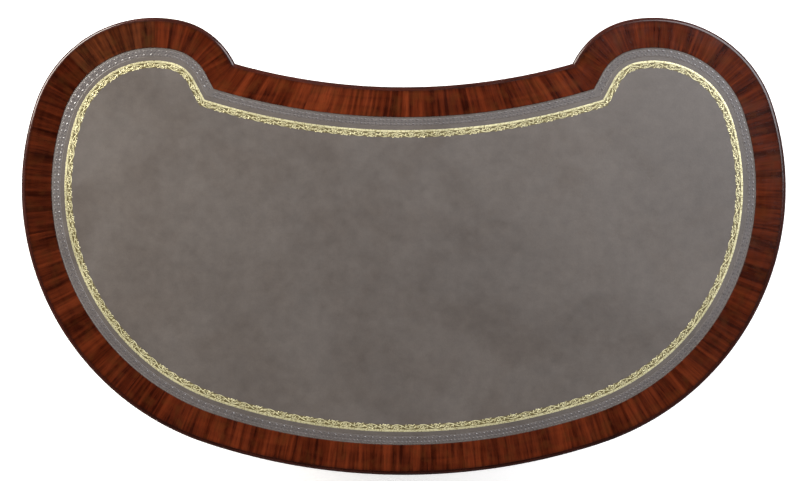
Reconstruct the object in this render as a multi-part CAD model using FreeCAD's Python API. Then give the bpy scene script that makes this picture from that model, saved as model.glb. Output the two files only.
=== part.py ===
"""Kidney-shaped pedestal writing desk with a leather top, bow-fronted drawers and bail handles.

Millimetres, +Z up. The sitter's side is at -Y, and the origin is on the floor under the middle of the top.
The plan is arcs about five centres, with a short straight flank on each lobe, so an outline at any inset
keeps those centres.
"""

import FreeCAD, Part
import math
import os

from FreeCAD import Vector

# Outline of the top, seen from above
top_width = 1370.0
top_depth = 820.0
widest_share = 0.373        # the widest place, measured from the sitter's side, as a share of the depth
back_radius = 1130.0
shoulder_radius = 225.0
lobe_radius = 139.0
lobe_offset = 17.5          # from the middle of a shoulder in to the middle of its lobe
kneehole_depth = 124.5      # from the front of the lobes to the middle of the hollow
flank_turn = 28.0           # degrees round a lobe, from its kneehole side to where its flank runs straight
flank_length = 7.9          # of that straight, to its corner with the hollow

# Heights
desk_height = 775.0
plinth_height = 85.0
drawer_height_shares = (0.214, 0.238, 0.262, 0.286)   # of the four openings together, top to bottom

# Top: a core, a moulded lipping round it, a crossbanded border and a leather skiver
top_thickness = 28.0
lipping_width = 14.0
moulding_width = 7.0        # the part of the lipping that shows from above
moulding_drop = 5.0         # height of the thumb moulding
under_width = 6.0           # the rounded lower edge of the lipping
under_height = 8.0
band_inset = 54.5           # from the edge of the top to the leather
band_thickness = 2.0
leather_thickness = 1.2

# Carcase
overhang = 26.0
panel_thickness = 20.0
rail_thickness = 14.0
rail_least_depth = 30.0     # of a drawer rail, at its narrow end
outer_post_width = 22.0
bottom_thickness = 18.0
guide_thickness = 12.0
partition_thickness = 12.0
end_cavity = 31.0           # between a guide panel and the curved end, at the widest place
kneehole_rail_depth = 40.0
kneehole_rail_thickness = 18.0

# Plinth
plinth_proud = 10.0
plinth_thickness = 22.0
plinth_mould_width = 9.0
plinth_mould_height = 13.0
plinth_fillet = 2.0

# Panel mouldings on the convex back
frame_margin = 55.0         # from a joint or an edge of the panel to its frame
frame_width = 14.0
frame_proud = 4.0
bead_width = 6.0
bead_proud = 8.0

# Drawers
front_thickness = 20.0
front_gap = 1.5
cockbead_width = 4.0
cockbead_proud = 2.0
cockbead_depth = 8.0
dovetail_lap = 8.0          # of the front's thickness, left in front of the dovetails
dovetail_flare = 2.5        # how much a tail widens on each side towards its tip
tail_share = 0.5            # of each dovetail's pitch, at the root of the tail
tail_count = 4
side_thickness = 10.0
runner_gap = 0.3
headroom = 8.0              # over a drawer's sides
back_gap = 8.0              # behind a drawer
bottom_board = 5.0
bottom_raise = 8.0          # from the lower edge of a side to its groove
groove_depth = 5.0
back_drop = 6.0             # the back board lies this far under the sides' top edge
runner_width = 18.0
centre_runner_width = 24.0
stop_width = 22.0
stop_depth = 16.0
stop_height = 5.0
stop_shares = (0.3, 0.7)    # across a drawer opening

# Bail handles
post_half_span = 36.0       # from the middle of a handle to the middle of a post
stand_off = 17.0            # from the drawer front to the bail's pivot
rose_radius = 9.0
rose_thickness = 2.5
stem_radius = 3.4
ball_radius = 6.0
bolt_radius = 2.4
bolt_clearance = 0.1
bolt_end = 2.0              # of the bolt, beyond its nut
nut_radius = 5.5
nut_thickness = 3.5
seat_clearance = 0.1
bail_radius = 2.9
pin_radius = 2.0
pin_clearance = 0.05
pin_reach = 1.0             # of the pin, beyond the middle of the ball
pin_end_play = 0.5
neck_length = 1.5
neck_radius = 6.0
swan_radius = 9.0
bow_radius = 11.0
swan_turn = 35.0            # degrees
handle_raise = 12.0         # of the pivot over the middle of the drawer front
centre_handle_share = 0.51  # of the way from the middle of the desk to a pedestal

# Lock of the centre drawer
lock_width = 60.0
lock_height = 42.0
lock_depth = 12.0
lock_let_in = 8.0           # into the back of the drawer front
lock_wall = 2.5
bolt_width = 22.0
bolt_thickness = 5.0
bolt_height = 26.0
bolt_throw = 7.0
bolt_play = 0.5
scutcheon_width = 13.0
scutcheon_height = 24.0
scutcheon_proud = 1.0
keyhole_radius = 2.6
keyhole_slot = 2.4
keyhole_drop = 8.0

# Screws that hold the top down
screw_radius = 2.0
screw_head_radius = 4.2
screw_head_height = 3.0
screw_into_top = 16.0
screw_shares = (0.15, 0.5, 0.85)   # along each batten

overrun = 50.0              # of every cutting block, past what it cuts
curve_steps = 5             # flats that make one quarter of a moulding's curve


# Centres of the outline

def polar(centre, radius, angle):
    return centre + Vector(radius * math.cos(angle), radius * math.sin(angle), 0)


half_width = top_width / 2
front_y = -top_depth / 2
back_y = top_depth / 2
widest_y = front_y + widest_share * top_depth
back_reach = back_y - widest_y
end_radius = (2 * back_radius * back_reach - back_reach**2 - half_width**2) / (2 * back_radius - top_width)

back_centre = Vector(0, back_y - back_radius, 0)
end_centre = Vector(half_width - end_radius, widest_y, 0)
shoulder_y = front_y + shoulder_radius
shoulder_reach = math.sqrt((end_radius - shoulder_radius)**2 - (shoulder_y - widest_y)**2)
shoulder_centre = Vector(end_centre.x + shoulder_reach, shoulder_y, 0)
lobe_reach = math.sqrt((shoulder_radius - lobe_radius)**2 - lobe_offset**2)
lobe_centre = Vector(shoulder_centre.x - lobe_offset, shoulder_y - lobe_reach, 0)
flank_angle = math.radians(flank_turn) - math.pi
flank_way = Vector(math.sin(flank_angle), -math.cos(flank_angle), 0)
hollow_middle = front_y + kneehole_depth
hollow_corner = polar(lobe_centre, lobe_radius, flank_angle) + flank_way * flank_length
hollow_rise = hollow_middle - hollow_corner.y
kneehole_radius = (hollow_corner.x**2 + hollow_rise**2) / (2 * hollow_rise)
kneehole_centre = Vector(0, hollow_middle - kneehole_radius, 0)


def heading(vector):
    return math.atan2(vector.y, vector.x)


lobe_to_shoulder = heading(lobe_centre - shoulder_centre)
shoulder_to_end = heading(shoulder_centre - end_centre)
end_to_back = heading(end_centre - back_centre)


def flank_start(inset):
    """Where the right-hand lobe's arc ends and its flank runs on straight."""
    return polar(lobe_centre, lobe_radius - inset, flank_angle)


def notch(inset):
    """The right-hand corner where a lobe's flank meets the kneehole hollow."""
    start = flank_start(inset) - kneehole_centre
    along = start.dot(flank_way)
    run = math.sqrt(along**2 - start.Length**2 + (kneehole_radius + inset)**2) - along
    return flank_start(inset) + flank_way * run


# Levels and plan lines that the pieces share

top_under = desk_height - top_thickness
top_face = desk_height - band_thickness
carcase_bottom = plinth_height
floor_of_drawers = carcase_bottom + bottom_thickness
stack_top = top_under - rail_thickness
openings_height = stack_top - floor_of_drawers - (len(drawer_height_shares) - 1) * rail_thickness

opening_levels = []
level = stack_top
for share in drawer_height_shares:
    opening_levels.append((level - share * openings_height, level))
    level -= share * openings_height + rail_thickness
frieze_bottom, frieze_top = opening_levels[0]

inner_face = overhang + panel_thickness
kneehole_x = notch(overhang).x
opening_left = kneehole_x + panel_thickness
opening_right = end_centre.x + end_radius - inner_face - end_cavity - guide_thickness
opening_middle = (opening_left + opening_right) / 2
outer_post_edge = opening_right + outer_post_width


def pedestal_front(x, inset):
    """The y of the pedestal's bowed front at x."""
    arcs = [(lobe_centre, lobe_radius, lobe_to_shoulder), (shoulder_centre, shoulder_radius, shoulder_to_end),
            (end_centre, end_radius, end_to_back)]
    for centre, radius, last in arcs:
        if x <= polar(centre, radius - inset, last).x:
            return centre.y - math.sqrt((radius - inset)**2 - (x - centre.x)**2)
    return widest_y


def kneehole_curve(x, inset):
    """The y of the hollow over the kneehole at x."""
    return kneehole_centre.y + math.sqrt((kneehole_radius + inset)**2 - x**2)


rail_back = pedestal_front(opening_right, overhang) + rail_least_depth
outer_post_back = pedestal_front(outer_post_edge, overhang) + rail_least_depth
guide_reach = end_radius - inner_face
partition_back = widest_y + math.sqrt(guide_reach**2 - (opening_right + guide_thickness - end_centre.x)**2)
partition_front = partition_back - partition_thickness
box_back = partition_front - back_gap
kneehole_front = hollow_middle + overhang
kneehole_rail_back = kneehole_front + kneehole_rail_depth


# Shapes that many pieces are cut from

def arc(centre, radius, start, end):
    points = [polar(centre, radius, angle) for angle in (start, (start + end) / 2, end)]
    return Part.Arc(*points).toShape()


def straight_edge(start, end):
    return Part.LineSegment(start, end).toShape()


def mirrored_arc(centre, radius, start, end):
    """The same arc on the left-hand side, run the other way, so that the outline stays anticlockwise."""
    return arc(Vector(-centre.x, centre.y, 0), radius, math.pi - end, math.pi - start)


def right_arcs(inset):
    """Lobe, shoulder and end of the right-hand side, from the lobe's flank round to the back."""
    return [(lobe_centre, lobe_radius - inset, flank_angle, lobe_to_shoulder),
            (shoulder_centre, shoulder_radius - inset, lobe_to_shoulder, shoulder_to_end),
            (end_centre, end_radius - inset, shoulder_to_end, end_to_back)]


def outline_wire(inset, z):
    """The kidney outline of the top, drawn in by inset."""
    flank = [notch(inset), flank_start(inset)]
    right = right_arcs(inset)
    across = heading(notch(inset) - kneehole_centre)
    edges = [straight_edge(*flank)] + [arc(*piece) for piece in right]
    edges.append(arc(back_centre, back_radius - inset, end_to_back, math.pi - end_to_back))
    edges += [mirrored_arc(*piece) for piece in reversed(right)]
    edges.append(straight_edge(*[Vector(-point.x, point.y, 0) for point in reversed(flank)]))
    edges.append(arc(kneehole_centre, kneehole_radius + inset, math.pi - across, across))
    wire = Part.Wire(edges)
    wire.translate(Vector(0, 0, z))
    return wire


def pedestal_wire(inset, z):
    """The footprint of the right-hand pedestal: the outline's curves closed by a straight kneehole side."""
    side_x = kneehole_x + inset - overhang
    bend = flank_start(inset)
    start = bend + flank_way * ((side_x - bend.x) / flank_way.x)
    arcs = right_arcs(inset)
    if side_x < polar(back_centre, back_radius - inset, end_to_back).x:
        end = Vector(side_x, back_centre.y + math.sqrt((back_radius - inset)**2 - side_x**2), 0)
        arcs.append((back_centre, back_radius - inset, end_to_back, heading(end - back_centre)))
    else:
        end = Vector(side_x, widest_y + math.sqrt((end_radius - inset)**2 - (side_x - end_centre.x)**2), 0)
        arcs[-1] = (end_centre, end_radius - inset, shoulder_to_end, heading(end - end_centre))
    edges = [straight_edge(start, bend)] + [arc(*piece) for piece in arcs] + [straight_edge(end, start)]
    wire = Part.Wire(edges)
    wire.translate(Vector(0, 0, z))
    return wire


def block(wire_at, inset, bottom, top):
    return Part.Face(wire_at(inset, bottom)).extrude(Vector(0, 0, top - bottom))


def outline_block(inset, bottom, top):
    return block(outline_wire, inset, bottom, top)


def pedestal_block(inset, bottom, top):
    return block(pedestal_wire, inset, bottom, top)


def slab(x0, x1, y0, y1, z0, z1):
    return Part.makeBox(x1 - x0, y1 - y0, z1 - z0, Vector(x0, y0, z0))


far_front = front_y - overrun
far_back = back_y + overrun


def moulded_block(wire_at, sections):
    """A block whose side follows a moulding: sections are (inset, z) from the bottom up."""
    return Part.makeLoft([wire_at(inset, z) for inset, z in sections], True, True)


def quarter(steps):
    """Angles of a quarter round, without its first."""
    return [math.pi / 2 * step / steps for step in range(1, steps + 1)]


def sector(centre, inner, outer, start, end, bottom, top):
    """A curved strip between two radii and two angles."""
    edges = [arc(centre, outer, start, end),
             straight_edge(polar(centre, outer, end), polar(centre, inner, end)),
             arc(centre, inner, end, start),
             straight_edge(polar(centre, inner, start), polar(centre, outer, start))]
    face = Part.Face(Part.Wire(edges))
    face.translate(Vector(0, 0, bottom))
    return face.extrude(Vector(0, 0, top - bottom))


def mirror(shape):
    return shape.mirror(Vector(0, 0, 0), Vector(1, 0, 0))


def pair(pieces):
    """The right-hand pieces and their left-hand twins."""
    return pieces + [mirror(piece) for piece in pieces]


nodes = {}


def node(name, pieces):
    nodes[name] = [solid for piece in pieces for solid in piece.Solids]


# Top

def lipping():
    """Solid edge in three lengths: one in the kneehole and one round each end, mitred at the notches."""
    thumb_bottom = top_face - moulding_drop
    sections = [(under_width, top_under)]
    for angle in quarter(curve_steps):
        rise = under_height * (1 - math.cos(angle))
        sections.append((under_width * (1 - math.sin(angle)), top_under + rise))
    sections.append((0, thumb_bottom))
    for angle in quarter(curve_steps):
        rise = moulding_drop * math.sin(angle)
        sections.append((moulding_width * (1 - math.cos(angle)), thumb_bottom + rise))
    ring = moulded_block(outline_wire, sections).cut(outline_block(lipping_width, top_under, top_face))
    outside, inside = notch(0), notch(lipping_width)
    mitre = (inside - outside).normalize() * (kneehole_depth + lipping_width)
    corners = [outside - mitre, inside + mitre]
    corners += [Vector(-point.x, point.y, 0) for point in reversed(corners)]
    knee = Part.Face(Part.makePolygon(corners + corners[:1]))
    knee.translate(Vector(0, 0, top_under))
    knee = knee.extrude(Vector(0, 0, top_thickness))
    right = slab(0, half_width + overrun, far_front, far_back, top_under, desk_height)
    return [ring.common(knee)] + pair([ring.cut(knee).common(right)])


def crossbanding():
    outside = outline_block(moulding_width, top_face, desk_height)
    return outside.cut(outline_block(band_inset, top_face, desk_height))


def leather():
    return outline_block(band_inset, top_face, top_face + leather_thickness)


# Carcase

def outer_panel():
    """The curved end and back of the right-hand pedestal, from the outer post to the kneehole."""
    panel = pedestal_block(overhang, carcase_bottom, top_under)
    panel = panel.cut(outline_block(inner_face, carcase_bottom, top_under))
    return panel.cut(slab(0, outer_post_edge, far_front, partition_front, carcase_bottom, top_under))


def kneehole_panel():
    room = slab(kneehole_x, opening_left, rail_back, far_back, carcase_bottom, top_under)
    return room.common(outline_block(inner_face, carcase_bottom, top_under))


def modesty_panel():
    panel = outline_block(overhang, carcase_bottom, top_under)
    panel = panel.cut(outline_block(inner_face, carcase_bottom, top_under))
    return panel.common(slab(-kneehole_x, kneehole_x, 0, far_back, carcase_bottom, top_under))


def inner_post():
    post = pedestal_block(overhang, carcase_bottom, top_under)
    return post.common(slab(kneehole_x, opening_left, far_front, rail_back, carcase_bottom, top_under))


def outer_post():
    post = pedestal_block(overhang, carcase_bottom, top_under)
    room = slab(opening_right, outer_post_edge, far_front, outer_post_back, carcase_bottom, top_under)
    return post.common(room)


def drawer_rail(bottom, top):
    rail = pedestal_block(overhang, bottom, top)
    return rail.common(slab(opening_left, opening_right, far_front, rail_back, bottom, top))


def drawer_rails():
    levels = [(carcase_bottom, floor_of_drawers), (stack_top, top_under)]
    levels += [(bottom - rail_thickness, bottom) for bottom, _ in opening_levels[:-1]]
    return [drawer_rail(bottom, top) for bottom, top in levels]


def bottom_board_panel():
    """The floor of the pedestal, behind the lowest rail and the outer post."""
    board = pedestal_block(inner_face, carcase_bottom, floor_of_drawers)
    rail_room = slab(0, opening_right, far_front, rail_back, carcase_bottom, floor_of_drawers)
    post_room = slab(opening_right, half_width, far_front, outer_post_back, carcase_bottom, floor_of_drawers)
    return board.cut([rail_room, post_room])


def guide_panel():
    room = slab(opening_right, opening_right + guide_thickness, outer_post_back, partition_front,
                floor_of_drawers, top_under)
    return room.common(pedestal_block(inner_face, floor_of_drawers, top_under))


def partition():
    room = slab(opening_left, half_width, partition_front, partition_back, floor_of_drawers, top_under)
    return room.common(pedestal_block(inner_face, floor_of_drawers, top_under))


def bearers(bottom, top):
    """A strip along each side of the drawer space, from the rail back to the partition."""
    return [slab(opening_left, opening_left + runner_width, rail_back, partition_front, bottom, top),
            slab(opening_right - runner_width, opening_right, rail_back, partition_front, bottom, top)]


def centre_bearer(bottom, top):
    return slab(kneehole_x - centre_runner_width, kneehole_x, kneehole_rail_back, partition_back, bottom, top)


def runners():
    pieces = [centre_bearer(frieze_bottom - rail_thickness, frieze_bottom)]
    for bottom, _ in opening_levels[:-1]:
        pieces += bearers(bottom - rail_thickness, bottom)
    return pieces


def stop(x, inner_y, bottom):
    """A block on a rail that meets the inside of a closed drawer front."""
    left, right = x - stop_width / 2, x + stop_width / 2
    front = max(inner_y(left), inner_y(right)) + runner_gap
    return slab(left, right, front, front + stop_depth, bottom, bottom + stop_height)


def stops():
    inset = overhang + front_thickness
    width = opening_right - opening_left
    pieces = [stop(kneehole_x * stop_shares[1], lambda x: kneehole_curve(x, inset), frieze_bottom)]
    for bottom, _ in opening_levels:
        for share in stop_shares:
            pieces.append(stop(opening_left + share * width, lambda x: pedestal_front(x, inset), bottom))
    return pieces


def battens():
    return bearers(stack_top, top_under) + [centre_bearer(stack_top, top_under)]


def screws():
    """Countersunk screws up through the battens into the core."""
    pieces = []
    for batten in battens():
        box = batten.BoundBox
        for share in screw_shares:
            place = Vector(box.Center.x, box.YMin + share * box.YLength, stack_top)
            head = Part.makeCone(screw_head_radius, screw_radius, screw_head_height, place)
            shank = Part.makeCylinder(screw_radius, rail_thickness + screw_into_top, place)
            pieces.append(head.fuse(shank).removeSplitter())
    return pieces


def kneehole_rail(bottom, top):
    rail = outline_block(overhang, bottom, top)
    return rail.common(slab(-kneehole_x, kneehole_x, far_front, kneehole_rail_back, bottom, top))


def kneehole_rails():
    """The rail over the centre drawer, with the mortise for its lock bolt, and the rail under it."""
    upper = kneehole_rail(stack_top, top_under).cut(lock_mortise())
    lower = kneehole_rail(frieze_bottom - kneehole_rail_thickness, frieze_bottom)
    return [upper, lower]


# Plinth

def plinth_sections():
    outside = overhang - plinth_proud
    mould_bottom = plinth_height - plinth_fillet - plinth_mould_height
    sections = [(outside, 0), (outside, mould_bottom)]
    for angle in quarter(curve_steps):
        sections.append((outside + plinth_mould_width * (1 - math.cos(angle)),
                         mould_bottom + plinth_mould_height * math.sin(angle)))
    sections.append((outside + plinth_mould_width, plinth_height))
    return sections


plinth_inside = overhang - plinth_proud + plinth_thickness


def pedestal_plinth():
    ring = moulded_block(pedestal_wire, plinth_sections())
    return ring.cut(pedestal_block(plinth_inside, 0, plinth_height))


def centre_plinth():
    ring = moulded_block(outline_wire, plinth_sections()).cut(outline_block(plinth_inside, 0, plinth_height))
    reach = kneehole_x - plinth_proud
    return ring.common(slab(-reach, reach, 0, far_back, 0, plinth_height))


# Panel mouldings

def panel_frame(centre, radius, start, end):
    """A raised rectangular moulding on a curved panel: a flat border with a bead inside it."""
    bottom, top = carcase_bottom + frame_margin, top_under - frame_margin

    def strip(proud, margin):
        turn = margin / radius
        return sector(centre, radius, radius + proud, start + turn, end - turn, bottom + margin, top - margin)

    border = strip(frame_proud, 0).cut(strip(frame_proud, frame_width))
    bead = strip(bead_proud, frame_width - bead_width).cut(strip(bead_proud, frame_width))
    return border.fuse(bead).removeSplitter()


def centre_frame():
    radius = back_radius - overhang
    turn = math.asin((kneehole_x - frame_margin) / radius)
    return panel_frame(back_centre, radius, math.pi / 2 - turn, math.pi / 2 + turn)


def end_frame():
    """On the end's arc, as far as the back's arc or the line of the kneehole side, whichever comes first."""
    radius = end_radius - overhang
    turn = frame_margin / radius
    last = min(end_to_back, math.acos((kneehole_x - end_centre.x) / radius))
    return panel_frame(end_centre, radius, shoulder_to_end, last - turn)


# Bail handles

class Handle:
    """A bail on two turned posts, on a drawer front that is an arc of the given radius.

    bow is 1 on a front that bows out from the arc's centre and -1 on a hollow one.
    """

    def __init__(self, centre, radius, bow, angle, pivot_z):
        self.normal = heading(polar(Vector(0, 0, 0), bow, angle))
        self.tangent = self.normal + math.pi / 2
        self.pivot_z = pivot_z
        pivot_circle = radius + bow * stand_off
        half_turn = math.asin(post_half_span / pivot_circle)
        self.seats = [(polar(centre, radius, angle + side * half_turn), self.normal + side * half_turn)
                      for side in (-1, 1)]
        self.pivot = polar(centre, pivot_circle * math.cos(half_turn), angle) + Vector(0, 0, pivot_z)

    def place(self, shape, point, angle):
        moved = shape.copy()
        moved.rotate(Vector(0, 0, 0), Vector(0, 0, 1), math.degrees(angle))
        moved.translate(Vector(point.x, point.y, self.pivot_z))
        return moved

    def bolt_holes(self):
        depth = front_thickness + rose_radius
        hole = Part.makeCylinder(bolt_radius + bolt_clearance, depth + overrun, Vector(-depth, 0, 0),
                                 Vector(1, 0, 0))
        return [self.place(hole, *seat) for seat in self.seats]

    def posts(self):
        """Each post is one turning on its own axis: bolt, rose, stem and ball, bored for the bail's pin."""
        back = -front_thickness - seat_clearance - nut_thickness - bolt_end
        rose_front = seat_clearance + rose_thickness
        ball_back = stand_off - math.sqrt(ball_radius**2 - stem_radius**2)
        points = [(back, 0), (back, bolt_radius), (seat_clearance, bolt_radius),
                  (seat_clearance, rose_radius), (rose_front - rose_thickness / 2, rose_radius),
                  (rose_front, stem_radius), (ball_back, stem_radius)]
        points = [Vector(along, across, 0) for along, across in points]
        ball_front = Vector(stand_off + ball_radius, 0, 0)
        edges = list(Part.makePolygon(points).Edges)
        edges.append(Part.Arc(points[-1], Vector(stand_off, ball_radius, 0), ball_front).toShape())
        edges.append(straight_edge(ball_front, points[0]))
        turning = Part.Face(Part.Wire(edges)).revolve(Vector(0, 0, 0), Vector(1, 0, 0), 360)
        return [self.place(turning, *seat).cut(self.pin_bores()) for seat in self.seats]

    def pin_bores(self):
        reach = post_half_span + pin_reach + pin_end_play
        bore = Part.makeCylinder(pin_radius + pin_clearance, 2 * reach, Vector(-reach, 0, 0), Vector(1, 0, 0))
        return self.place(bore, self.pivot, self.tangent)

    def nuts(self):
        start = -front_thickness - seat_clearance - nut_thickness
        angles = [math.pi / 3 * k for k in range(7)]
        flats = [(nut_radius * math.cos(angle), nut_radius * math.sin(angle)) for angle in angles]
        corners = [Vector(start, across, up) for across, up in flats]
        nut = Part.Face(Part.makePolygon(corners)).extrude(Vector(nut_thickness, 0, 0))
        nut = nut.cut(Part.makeCylinder(bolt_radius, nut_thickness, Vector(start, 0, 0), Vector(1, 0, 0)))
        return [self.place(nut, *seat) for seat in self.seats]

    def bail(self):
        """A swan-necked rod in an upright plane, with a thinner pin at each end."""
        start = post_half_span - ball_radius - pin_end_play
        pin_tip = post_half_span + pin_reach
        point, angle = Vector(start, 0, 0), math.pi
        edges = []

        def straight(length):
            nonlocal point
            end = polar(point, length, angle)
            edges.append(straight_edge(point, end))
            point = end

        def bend(radius, degrees):
            nonlocal point, angle
            turn = math.radians(degrees)
            centre = polar(point, radius, angle + math.copysign(math.pi / 2, turn))
            first = heading(point - centre)
            edges.append(arc(centre, radius, first, first + turn))
            point = polar(centre, radius, first + turn)
            angle += turn

        straight(neck_length)
        bend(neck_radius, 90)
        bend(swan_radius, swan_turn)
        bend(bow_radius, -swan_turn - 90)
        straight(point.x)
        path = Part.Wire(edges)
        section = Part.Wire(Part.makeCircle(bail_radius, Vector(start, 0, 0), Vector(1, 0, 0)))
        half = path.makePipeShell([section], True, True)
        pin = Part.makeCylinder(pin_radius, pin_tip - start + neck_length, Vector(start - neck_length, 0, 0),
                                Vector(1, 0, 0))
        half = half.fuse(pin)
        rod = half.fuse(mirror(half)).removeSplitter()
        rod.rotate(Vector(0, 0, 0), Vector(1, 0, 0), 90)
        return self.place(rod, self.pivot, self.tangent)


# Drawers

def bowed_front(wall_block, left, right, bottom, top, holes):
    """A drawer front that follows the desk's outline, with a cockbead frame let in round its edge."""
    limit = slab(left, right, far_front, 0, bottom, top)
    bead_limit = slab(left + cockbead_width, right - cockbead_width, far_front, 0,
                      bottom + cockbead_width, top - cockbead_width)
    bead = wall_block(overhang - cockbead_proud, bottom, top)
    bead = bead.cut(outline_block(overhang - cockbead_proud + cockbead_depth, bottom, top))
    bead = bead.common(limit).cut(bead_limit)
    panel = wall_block(overhang, bottom, top).cut(outline_block(overhang + front_thickness, bottom, top))
    panel = panel.common(limit).cut(bead)
    return [panel.cut(holes), bead]


def tails(left, right, bottom, top):
    """The dovetails of a drawer side, over its groove, from the inside of the front to its lap."""
    reach = outline_block(overhang + dovetail_lap, bottom, top)
    reach = reach.cut(outline_block(overhang + front_thickness, bottom, top))
    strip = slab(left, right, far_front, 0, bottom, top).common(reach)
    root, tip = strip.BoundBox.YMax, strip.BoundBox.YMin
    pitch = (top - bottom) / tail_count
    half = tail_share * pitch / 2
    prisms = []
    for k in range(tail_count):
        middle = bottom + (k + 1 / 2) * pitch
        corners = [(root, -half), (tip, -half - dovetail_flare), (tip, half + dovetail_flare), (root, half)]
        corners = [Vector(left, y, middle + z) for y, z in corners]
        prism = Part.Face(Part.makePolygon(corners + corners[:1]))
        prisms.append(prism.extrude(Vector(right - left, 0, 0)))
    return strip.common(Part.makeCompound(prisms))


def drawer_box(left, right, bottom, top):
    """Sides, back and bottom of a drawer whose front lies on the outline, and what is let into the front."""
    room = outline_block(overhang + front_thickness, bottom, top)
    inner_left, inner_right = left + side_thickness, right - side_thickness
    board_bottom = bottom + bottom_raise
    board_top = board_bottom + bottom_board
    board = slab(inner_left - groove_depth, inner_right + groove_depth, far_front, box_back,
                 board_bottom, board_top)
    board = board.common(outline_block(overhang + front_thickness - groove_depth, board_bottom, board_top))
    sides, let_in = [], [board]
    for start, end in ((left, inner_left), (inner_right, right)):
        side_tails = tails(start, end, board_top, top)
        side = slab(start, end, far_front, box_back, bottom, top).common(room)
        sides.append(side.fuse(side_tails.Solids).removeSplitter().cut(board))
        let_in += side_tails.Solids
    back = slab(inner_left, inner_right, box_back - side_thickness, box_back, board_top, top - back_drop)
    return sides + [back, board], let_in


def pedestal_drawer(bottom, top):
    """One drawer of the right-hand pedestal, in the opening between two levels."""
    pivot_z = (bottom + top) / 2 + handle_raise
    angle = -math.acos((opening_middle - shoulder_centre.x) / (shoulder_radius - overhang))
    handle = Handle(shoulder_centre, shoulder_radius - overhang, 1, angle, pivot_z)
    left, right = opening_left + front_gap, opening_right - front_gap
    boards, let_in = drawer_box(left, right, bottom + runner_gap, top - headroom)
    front = bowed_front(pedestal_block, left, right, bottom + front_gap, top - front_gap,
                        handle.bolt_holes() + let_in)
    pieces = {"front": front, "box": boards, "brass": handle.posts() + handle.nuts(), "bail": [handle.bail()]}
    return pieces, handle


# Centre drawer and its lock

lock_top = frieze_top - front_gap
lock_back = kneehole_front + front_thickness + lock_depth - lock_let_in
bolt_middle = lock_back - lock_depth / 2


def lock_bolt_room(play, bottom, top):
    """The space of the lock bolt, or of the slot that it slides in when play is more than zero."""
    return slab(-bolt_width / 2 - play, bolt_width / 2 + play, bolt_middle - bolt_thickness / 2 - play,
                bolt_middle + bolt_thickness / 2 + play, bottom, top)


def lock_mortise():
    return lock_bolt_room(bolt_play, stack_top, stack_top + bolt_throw)


def lock_case_room():
    return slab(-lock_width / 2, lock_width / 2, lock_back - lock_depth, lock_back,
                lock_top - lock_height, lock_top)


def lock_case():
    slot = lock_bolt_room(bolt_play, lock_top - bolt_height - bolt_play, lock_top)
    key_z = lock_top - lock_height / 2 - bolt_height / 2
    key = Part.makeCylinder(keyhole_radius, lock_depth - lock_wall, Vector(0, lock_back - lock_depth, key_z),
                            Vector(0, 1, 0))
    return lock_case_room().cut(slot).cut(key)


def keyhole():
    """A round hole with a slot under it, through the scutcheon and the drawer front into the lock."""
    key_z = lock_top - lock_height / 2 - bolt_height / 2
    length = front_thickness + 2 * scutcheon_proud
    start = kneehole_front - 2 * scutcheon_proud
    hole = Part.makeCylinder(keyhole_radius, length, Vector(0, start, key_z), Vector(0, 1, 0))
    slot = slab(-keyhole_slot / 2, keyhole_slot / 2, start, start + length, key_z - keyhole_drop, key_z)
    return hole.fuse(slot).removeSplitter()


def scutcheon():
    key_z = lock_top - lock_height / 2 - bolt_height / 2
    straight = scutcheon_height - scutcheon_width
    plate_front = kneehole_front - scutcheon_proud
    length = 2 * scutcheon_proud
    plate = slab(-scutcheon_width / 2, scutcheon_width / 2, plate_front, plate_front + length,
                 key_z - straight / 2 - keyhole_drop / 2, key_z + straight / 2 - keyhole_drop / 2)
    for end in (-1, 1):
        middle = Vector(0, plate_front, key_z + end * straight / 2 - keyhole_drop / 2)
        plate = plate.fuse(Part.makeCylinder(scutcheon_width / 2, length, middle, Vector(0, 1, 0)))
    return plate.removeSplitter()


def centre_drawer():
    """The hollow-fronted drawer over the kneehole, with two handles and a lock."""
    bottom, top = frieze_bottom, frieze_top
    pivot_z = (bottom + top) / 2 + handle_raise
    radius = kneehole_radius + overhang
    angle = math.acos(centre_handle_share * kneehole_x / radius)
    handle = Handle(kneehole_centre, radius, -1, angle, pivot_z)
    holes = pair(handle.bolt_holes()) + [lock_case_room(), keyhole(), scutcheon()]
    reach = kneehole_x - front_gap
    boards, let_in = drawer_box(-reach, reach, bottom + runner_gap, top - headroom)
    front = bowed_front(outline_block, -reach, reach, bottom + front_gap, top - front_gap, holes + let_in)
    fittings = pair(handle.posts() + handle.nuts()) + [lock_case(), scutcheon().cut(keyhole())]
    bolt = lock_bolt_room(0, lock_top - bolt_height, lock_top)
    pieces = {"front": front, "box": boards, "brass": fittings, "lock_bolt": [bolt],
              "right_bail": [handle.bail()], "left_bail": [mirror(handle.bail())]}
    return pieces, handle


# Assembly

top_screws = pair(screws())
core = outline_block(lipping_width, top_under, top_face)

node("top_core", [core.cut(top_screws)])
node("top_edge_moulding", lipping())
node("top_crossbanding", [crossbanding()])
node("leather_skiver", [leather()])
node("top_battens", [batten.cut(top_screws) for batten in pair(battens())])
node("top_screws", top_screws)

node("right_outer_panel", [outer_panel()])
node("left_outer_panel", [mirror(outer_panel())])
node("right_kneehole_panel", [kneehole_panel()])
node("left_kneehole_panel", [mirror(kneehole_panel())])
node("modesty_panel", [modesty_panel()])
node("front_posts", pair([inner_post(), outer_post()]))
node("drawer_rails", pair(drawer_rails()))
node("kneehole_rails", kneehole_rails())
node("guide_panels", pair([guide_panel()]))
node("partitions", pair([partition()]))
node("bottom_boards", pair([bottom_board_panel()]))
node("runners_and_stops", pair(runners() + stops()))
node("right_plinth", [pedestal_plinth()])
node("left_plinth", [mirror(pedestal_plinth())])
node("centre_plinth", [centre_plinth()])
node("back_mouldings", pair([end_frame()]) + [centre_frame()])

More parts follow.
